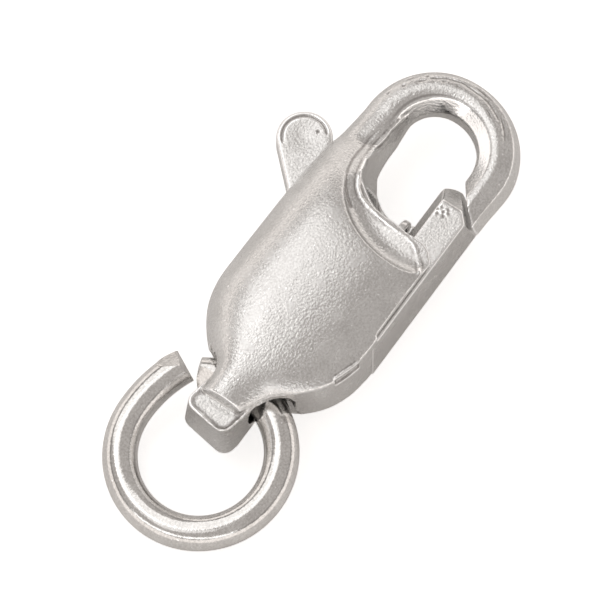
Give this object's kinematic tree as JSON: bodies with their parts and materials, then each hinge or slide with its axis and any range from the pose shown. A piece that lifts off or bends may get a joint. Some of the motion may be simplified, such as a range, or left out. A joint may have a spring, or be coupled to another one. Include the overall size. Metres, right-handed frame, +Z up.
{
  "type": "lobster clasp with open jump ring",
  "caption": "Cast silver lobster clasp: a domed shell with a round hook, a sprung thumb lever whose gate closes the hook, and an open jump ring through its tail eye.",
  "frame": {"origin": "centre of the flat land of the back, on which the clasp lies", "axes": "+X from the tail to the hook, +Y towards the thumb tab's side, +Z up, out of the back towards the dome"},
  "size_m": [0.0146, 0.0058, 0.0033],
  "materials": {
    "cast_silver": "tumbled cast silver, satin on the dome and bright on the rim and the hook",
    "lever_silver": "tumbled cast silver, satin",
    "ring_silver": "bright drawn silver wire with pinch-cut ends",
    "steel": "plain spring steel"
  },
  "bodies": {
    "claw": {"claw_body": "cast_silver", "pivot_pin": "steel"},
    "lever": {"gate_lever": "lever_silver", "return_spring": "steel"},
    "ring": {"jump_ring": "ring_silver"}
  },
  "joints": [
    {"name": "gate_swing", "type": "hinge", "parent": "claw", "child": "lever", "pos_m": [-0.0019, -0.00155, 0.0015], "axis": [0, 0, 1], "range_deg": [0, 13], "stiffness_Nm_per_rad": 0.0006, "springref_deg": -8.59},
    {"name": "ring_swing", "type": "hinge", "parent": "claw", "child": "ring", "pos_m": [-0.00318, 0, 0.00148], "axis": [0, 1, 0], "range_deg": [-45, 95]}
  ]
}
